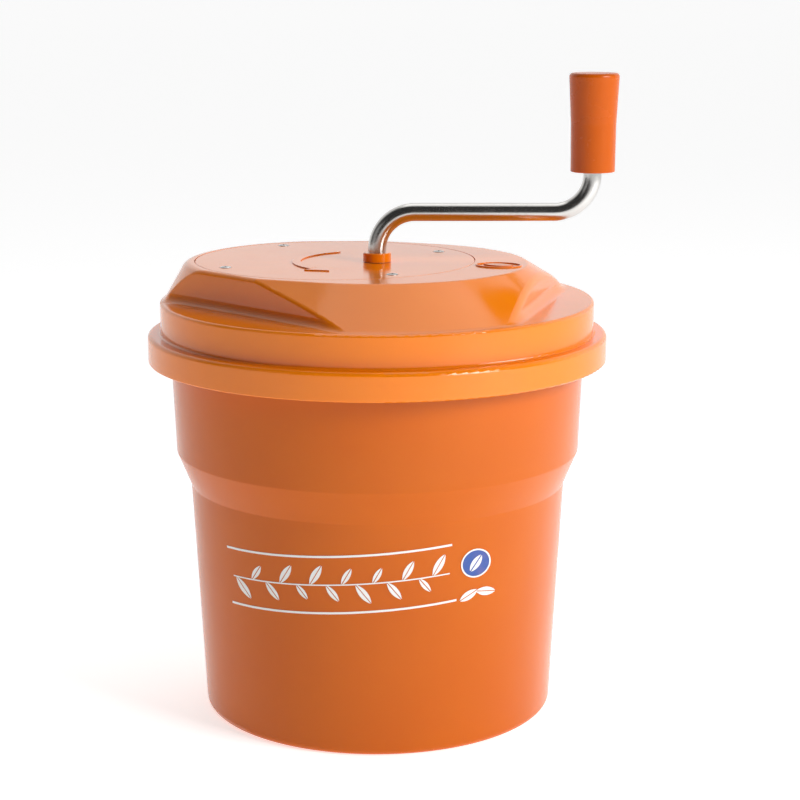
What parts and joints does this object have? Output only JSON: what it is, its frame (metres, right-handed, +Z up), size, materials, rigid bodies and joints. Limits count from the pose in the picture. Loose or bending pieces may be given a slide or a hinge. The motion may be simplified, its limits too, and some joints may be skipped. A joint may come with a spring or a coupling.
{
  "type": "salad spinner",
  "caption": "Hand-cranked salad spinner: a tall stepped bucket, a slotted basket on a pivot, and a geared lid with hand recesses, a bent crank arm and a turning grip",
  "frame": {"origin": "centre of the bucket's foot ring on the surface it stands on, on the axis that the basket and the crank turn about", "axes": "+Z up along the turning axis; the crank arm points along +X at rest and +Y is away from the bucket's printed front"},
  "size_m": [0.3363, 0.33, 0.46],
  "materials": {
    "bucket_plastic": "satin orange polypropylene",
    "lid_plastic": "satin orange moulded plastic",
    "grip_plastic": "smooth orange moulded plastic",
    "basket_plastic": "natural white polypropylene",
    "nylon": "natural nylon",
    "gear_nylon": "greased natural nylon",
    "seal_rubber": "black nitrile rubber",
    "bronze": "sintered bronze",
    "stainless": "turned stainless steel",
    "screw_steel": "stainless steel",
    "spring_steel": "oiled spring steel",
    "crank_steel": "satin stainless steel, fine brushed along the rod"
  },
  "bodies": {
    "bucket_body": {"bucket": "bucket_plastic", "pivot_pin": "stainless"},
    "pivot_body": {"pivot_cap": "nylon"},
    "basket_body": {"basket": "basket_plastic"},
    "basket_cover_body": {"basket_cover": "basket_plastic"},
    "lid_body": {"lid": "lid_plastic", "gear_cover": "lid_plastic", "cover_gasket": "seal_rubber", "cover_screws": "screw_steel", "crank_bush": "bronze", "driver_bush": "bronze", "driver_seal": "seal_rubber", "layshaft": "stainless", "layshaft_washer": "nylon", "layshaft_circlip": "spring_steel"},
    "crank_body": {"crank_rod": "crank_steel", "crank_collar": "grip_plastic", "crank_gear": "gear_nylon", "cross_pin": "spring_steel", "crank_washer": "nylon", "grip_washer": "stainless", "grip_screw": "screw_steel"},
    "grip_body": {"grip": "grip_plastic", "grip_bush": "nylon", "grip_cap": "grip_plastic"},
    "cluster_body": {"cluster_gear": "gear_nylon"},
    "driver_body": {"basket_driver": "gear_nylon", "driver_circlip": "spring_steel"}
  },
  "joints": [
    {"name": "lid_lift", "type": "slide", "parent": "bucket_body", "child": "lid_body", "axis": [0, 0, 1], "range_m": [0, 0.42]},
    {"name": "crank_turn", "type": "hinge", "parent": "lid_body", "child": "crank_body", "pos_m": [0, 0, 0.32], "axis": [0, 0, 1], "continuous": true},
    {"name": "grip_spin", "type": "hinge", "parent": "crank_body", "child": "grip_body", "pos_m": [0.1535, 0, 0.42], "axis": [0, 0, 1], "continuous": true},
    {"name": "layshaft_spin", "type": "hinge", "parent": "lid_body", "child": "cluster_body", "pos_m": [-0.05652, 0.02227, 0.3], "axis": [0, 0, 1], "continuous": true},
    {"name": "driver_spin", "type": "hinge", "parent": "lid_body", "child": "driver_body", "pos_m": [0, 0, 0.29], "axis": [0, 0, 1], "continuous": true},
    {"name": "basket_spin", "type": "hinge", "parent": "bucket_body", "child": "pivot_body", "pos_m": [0, 0, 0.04], "axis": [0, 0, 1], "continuous": true},
    {"name": "basket_lift", "type": "slide", "parent": "pivot_body", "child": "basket_body", "axis": [0, 0, 1], "range_m": [0, 0.252]},
    {"name": "basket_cover_lift", "type": "slide", "parent": "basket_body", "child": "basket_cover_body", "axis": [0, 0, 1], "range_m": [0, 0.063]}
  ],
  "couplings": [
    {"joint": "layshaft_spin", "follows": "crank_turn", "ratio": -2},
    {"joint": "driver_spin", "follows": "crank_turn", "ratio": 4},
    {"joint": "basket_spin", "follows": "crank_turn", "ratio": 4},
    {"joint": "basket_lift", "follows": "lid_lift", "ratio": 0.6},
    {"joint": "basket_cover_lift", "follows": "lid_lift", "ratio": 0.15}
  ]
}
